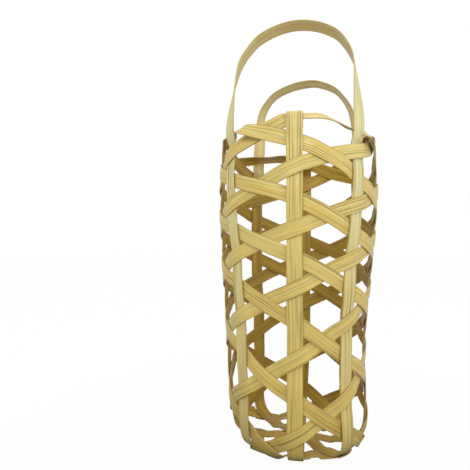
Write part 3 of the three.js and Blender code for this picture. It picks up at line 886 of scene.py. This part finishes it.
def bamboo(name, light, deep, warmth, inner_light, inner_deep, inner_lines=INNER_LINES):
    """Split bamboo: a straw outer face with warmer streaks and a warmer painted shade low down, a
    browner inner face, thin dark veins and a browner painted shade along the long edges. Warmth is
    how much of the deeper colour shows on the outer face, and inner lines is how strong the veins
    are on the inner one."""
    c = bpy.context.scene.basket_colours
    material = bpy.data.materials.new(name)
    material.use_nodes = True
    tree = material.node_tree
    tree.nodes.clear()
    place = shader_node(tree, "ShaderNodeUVMap", uv_map=SPLINT_MAP)
    fibres = shader_node(tree, "ShaderNodeGroup", node_tree=fibre_group())
    tree.links.new(place.outputs[0], fibres.inputs["Map"])
    fibres.inputs["Fineness"].default_value = c.fibre
    inner = shader_node(tree, "ShaderNodeAttribute", attribute_name=INNER)
    edge = shader_node(tree, "ShaderNodeAttribute", attribute_name=EDGE_SHADE)

    def blended(share, first, second):
        # The factor and the two colours of this node are its inputs 0, 6 and 7
        made = shader_node(tree, "ShaderNodeMix", data_type="RGBA")
        for index, value in ((0, share), (6, first), (7, second)):
            if isinstance(value, bpy.types.NodeSocket):
                tree.links.new(value, made.inputs[index])
            else:
                made.inputs[index].default_value = (*value, 1)
        return made.outputs[2]

    outer = blended(times(tree, fibres.outputs["Streaks"], warmth), light, deep)
    outer = blended(times(tree, fibres.outputs["Mottle"], warmth * MOTTLE_SHARE), outer, deep)
    spot = tree.nodes.new("ShaderNodeTexCoord").outputs["Object"]
    above = shader_node(tree, "ShaderNodeSeparateXYZ", {"Vector": spot}).outputs["Z"]
    # Painted shade low down: the outer face warms towards honey near the floor
    outer = blended(ranged(tree, above, LOW_SHADE_SHARE, 0, (0, LOW_SHADE_HEIGHT)), outer, c.honey)
    pith = blended(fibres.outputs["Streaks"], inner_light, inner_deep)
    both = blended(inner.outputs["Fac"], outer, pith)
    lines = ranged(tree, inner.outputs["Fac"], 1, inner_lines)
    veins = times(tree, fibres.outputs["Veins"], lines)
    threads = times(tree, fibres.outputs["Fibres"], lines)
    lined = blended(times(tree, veins, VEIN_SHARE), both, c.vein)
    fibred = blended(times(tree, threads, FIBRE_SHARE), lined, c.vein)
    # Painted shade along the long edges
    cut = blended(times(tree, edge.outputs["Fac"], EDGE_SHADE_SHARE), fibred, c.cut)
    rough = ranged(tree, fibres.outputs["Fibres"], *ROUGHNESS)
    relief = {
        "Strength": times(tree, lines, BUMP_STRENGTH),
        "Distance": BUMP_DEPTH,
        "Height": fibres.outputs["Height"],
    }
    bump = shader_node(tree, "ShaderNodeBump", relief)
    surface = {"Base Color": cut, "Roughness": rough, "Normal": bump.outputs[0]}
    show(tree, shader_node(tree, "ShaderNodeBsdfPrincipled", {**surface, **SURFACE}))
    return material


# Operators


def weave_in(context, way, line_of, first_piece):
    """Weaves in the four splints that wind round the basket one way."""
    c = context.scene.basket_colours
    name = f"{way.title()} Weaver Bamboo"
    material = bamboo(name, c.straw, c.honey, WARMTH[way], c.inner, c.inner_dark)
    wall = Wall()
    for index in range(STAKES // 2):
        place_splint(
            f"{way}_weaver_{index + 1}",
            f"weaver_{way}_{index + 1}",
            line_of(wall, index),
            splints().weaver_width,
            first_piece + index,
            material,
        )
    return {"FINISHED"}


class BASKET_OT_rising_weavers(bpy.types.Operator):
    """Weave the four splints that rise from left to right"""

    bl_idname = "basket.rising_weavers"
    bl_label = "Rising Weavers"

    def execute(self, context):
        return weave_in(context, "rising", rising_line, RISING)


class BASKET_OT_falling_weavers(bpy.types.Operator):
    """Weave the four splints that lie along the rim and fall from left to right"""

    bl_idname = "basket.falling_weavers"
    bl_label = "Falling Weavers"

    def execute(self, context):
        return weave_in(context, "falling", falling_line, FALLING)


class BASKET_OT_stakes(bpy.types.Operator):
    """Set the four long splints that cross under the base and stand up as eight stakes"""

    bl_idname = "basket.stakes"
    bl_label = "Stakes"

    def execute(self, context):
        c = context.scene.basket_colours
        warm, pale = WARMTH["folded"], WARMTH["handle_stake"]
        materials = {
            "folded": bamboo("Folded Stake Bamboo", c.straw, c.honey, warm, c.inner, c.inner_dark),
            # Painted sheen: these stakes stand at the sides of the view and get the paler, cooler
            # colour that grazing light gives there
            "handle": bamboo("Handle Stake Bamboo", c.pale, c.straw, pale, c.inner, c.inner_dark),
        }
        wall = Wall()
        for index in range(STAKES // 2):
            kind = "handle" if index % 2 else "folded"
            label = f"{kind}_{index // 2 + 1}"
            place_splint(
                f"stakes_{label}",
                f"stake_pair_{label}",
                stake_line(wall, index),
                splints().stake_width,
                UPRIGHT + index,
                materials[kind],
            )
        return {"FINISHED"}


class BASKET_OT_handles(bpy.types.Operator):
    """Bend the two loops that carry the basket"""

    bl_idname = "basket.handles"
    bl_label = "Handles"

    def execute(self, context):
        c, h = context.scene.basket_colours, context.scene.basket_handles
        colours = (c.pale, c.straw, WARMTH["handle"], c.pith, c.pith_dark)
        material = bamboo("Handle Bamboo", *colours, HANDLE_INNER_LINES)
        wall, width = Wall(), splints().handle_width
        front = (h.front_height, h.front_lean, h.front_splay, h.front_draw, FRONT_TURNS)
        back = (h.back_height, h.back_lean, h.back_splay, h.back_draw, BACK_TURNS)
        for side, stakes, bend, piece in (
            ("front", (1, -1), front, FRONT_LOOP),
            ("back", (5, 3), back, BACK_LOOP),
        ):
            line = handle_line(wall, stakes, *bend)
            name, node = f"{side}_handle", f"handle_{side}"
            place_splint(name, node, line, width, piece, material)
        return {"FINISHED"}


class BASKET_OT_stage(bpy.types.Operator):
    """Set the floor, the light and the camera"""

    bl_idname = "basket.stage"
    bl_label = "Stage"

    def execute(self, context):
        scene, s = context.scene, context.scene.basket_stage
        self.floor(scene)
        for name, power in (("Key", s.key), ("Fill", s.fill), ("Top", s.top)):
            self.light(scene, name, *LAMPS[name], power)
        self.air(scene, s.air)
        self.camera(scene, s)
        scene.view_settings.view_transform = "Standard"
        return {"FINISHED"}

    def floor(self, scene):
        """A round floor, plain white to the camera, and darker to the basket close to it, as
        painted shade.
        """
        turns = np.linspace(0, 2 * np.pi, FLOOR_CORNERS, endpoint=False)
        round_it = FLOOR_RADIUS * np.stack([np.cos(turns), np.sin(turns)], axis=1)
        ring = np.column_stack([round_it, np.full(FLOOR_CORNERS, -FLOOR_DROP)])
        mesh = bpy.data.meshes.new("Floor")
        mesh.from_pydata(ring.tolist(), [], [list(range(FLOOR_CORNERS))])
        floor = bpy.data.objects.new("Floor", mesh)
        scene.collection.objects.link(floor)
        material = bpy.data.materials.new("Floor")
        material.use_nodes = True
        tree = material.node_tree
        tree.nodes.clear()
        position = tree.nodes.new("ShaderNodeNewGeometry").outputs["Position"]
        reach = shader_node(tree, "ShaderNodeVectorMath", {0: position}, operation="LENGTH")
        # Painted shade: grey close to the basket, to dim the light thrown up onto its lower part
        floor_shade = ranged(tree, reach.outputs["Value"], *FLOOR_SHADE_GREYS, FLOOR_SHADE_REACH)
        matt = shader_node(tree, "ShaderNodeBsdfDiffuse", {"Color": floor_shade})
        bright = shader_node(tree, "ShaderNodeEmission", {"Color": WHITE, "Strength": 1})
        seen = tree.nodes.new("ShaderNodeLightPath").outputs["Is Camera Ray"]
        shaders = {0: times(tree, seen, FLOOR_WHITE), 1: matt.outputs[0], 2: bright.outputs[0]}
        show(tree, shader_node(tree, "ShaderNodeMixShader", shaders))
        mesh.materials.append(material)

    def light(self, scene, name, place, side, power):
        """A square soft light that faces the middle of the basket."""
        lamp = bpy.data.lights.new(name, "AREA")
        lamp.energy, lamp.size = power, side
        lamp_object = bpy.data.objects.new(name, lamp)
        from_middle = np.array(place) - LAMP_AIM
        from_middle /= np.linalg.norm(from_middle)
        lamp_object.location = place
        flat = math.hypot(from_middle[0], from_middle[1])
        turned = math.atan2(from_middle[1], from_middle[0]) + math.pi / 2
        lamp_object.rotation_euler = (math.atan2(flat, from_middle[2]), 0, turned)
        scene.collection.objects.link(lamp_object)

    def air(self, scene, strength):
        """White to the camera, and an even pale light to the basket."""
        world = bpy.data.worlds.new("Air")
        world.use_nodes = True
        tree = world.node_tree
        tree.nodes.clear()
        seen = tree.nodes.new("ShaderNodeLightPath").outputs["Is Camera Ray"]
        light = {"Color": WHITE, "Strength": ranged(tree, seen, strength, 1)}
        show(tree, shader_node(tree, "ShaderNodeBackground", light), "ShaderNodeOutputWorld")
        scene.world = world

    def camera(self, scene, s):
        """A level camera in front. The horizon sits a little above the middle of the picture."""
        camera = bpy.data.cameras.new("Camera")
        camera.lens = s.focal
        camera.sensor_width = SENSOR_WIDTH
        camera.clip_start = CLIP_START
        camera.shift_y = (s.horizon - s.picture / 2) / s.picture
        camera_object = bpy.data.objects.new("Camera", camera)
        camera_object.location = (s.camera_x, -s.camera_distance, s.camera_height)
        camera_object.rotation_euler = (math.pi / 2, 0, 0)
        scene.collection.objects.link(camera_object)
        scene.camera = camera_object


class BASKET_PT_panel(bpy.types.Panel):
    """Lists the steps and the settings of the basket"""

    bl_idname = "BASKET_PT_panel"
    bl_label = "Open-Weave Basket"
    bl_space_type = "VIEW_3D"
    bl_region_type = "UI"
    bl_category = "Basket"

    def draw(self, context):
        layout = self.layout
        for operator in OPERATORS:
            layout.operator(operator.bl_idname)
        for attribute, group in GROUPS.items():
            box = layout.box()
            box.label(text=group.__doc__)
            settings = getattr(context.scene, attribute)
            for name in group.__annotations__:
                box.prop(settings, name)


GROUPS = {
    "basket_body": BasketBody,
    "basket_splints": BasketSplints,
    "basket_handles": BasketHandles,
    "basket_colours": BasketColours,
    "basket_stage": BasketStage,
}
OPERATORS = (
    BASKET_OT_stage,
    BASKET_OT_stakes,
    BASKET_OT_rising_weavers,
    BASKET_OT_falling_weavers,
    BASKET_OT_handles,
)


def register():
    for part in (*GROUPS.values(), *OPERATORS, BASKET_PT_panel):
        bpy.utils.register_class(part)
    for name, group in GROUPS.items():
        setattr(bpy.types.Scene, name, bpy.props.PointerProperty(type=group))


def unregister():
    for name in GROUPS:
        delattr(bpy.types.Scene, name)
    for part in reversed((*GROUPS.values(), *OPERATORS, BASKET_PT_panel)):
        bpy.utils.unregister_class(part)


def main():
    """Registers the add-on and makes the basket."""
    register()
    bpy.ops.basket.stage()
    bpy.ops.basket.stakes()
    bpy.ops.basket.rising_weavers()
    bpy.ops.basket.falling_weavers()
    bpy.ops.basket.handles()


if __name__ == "__main__":
    main()
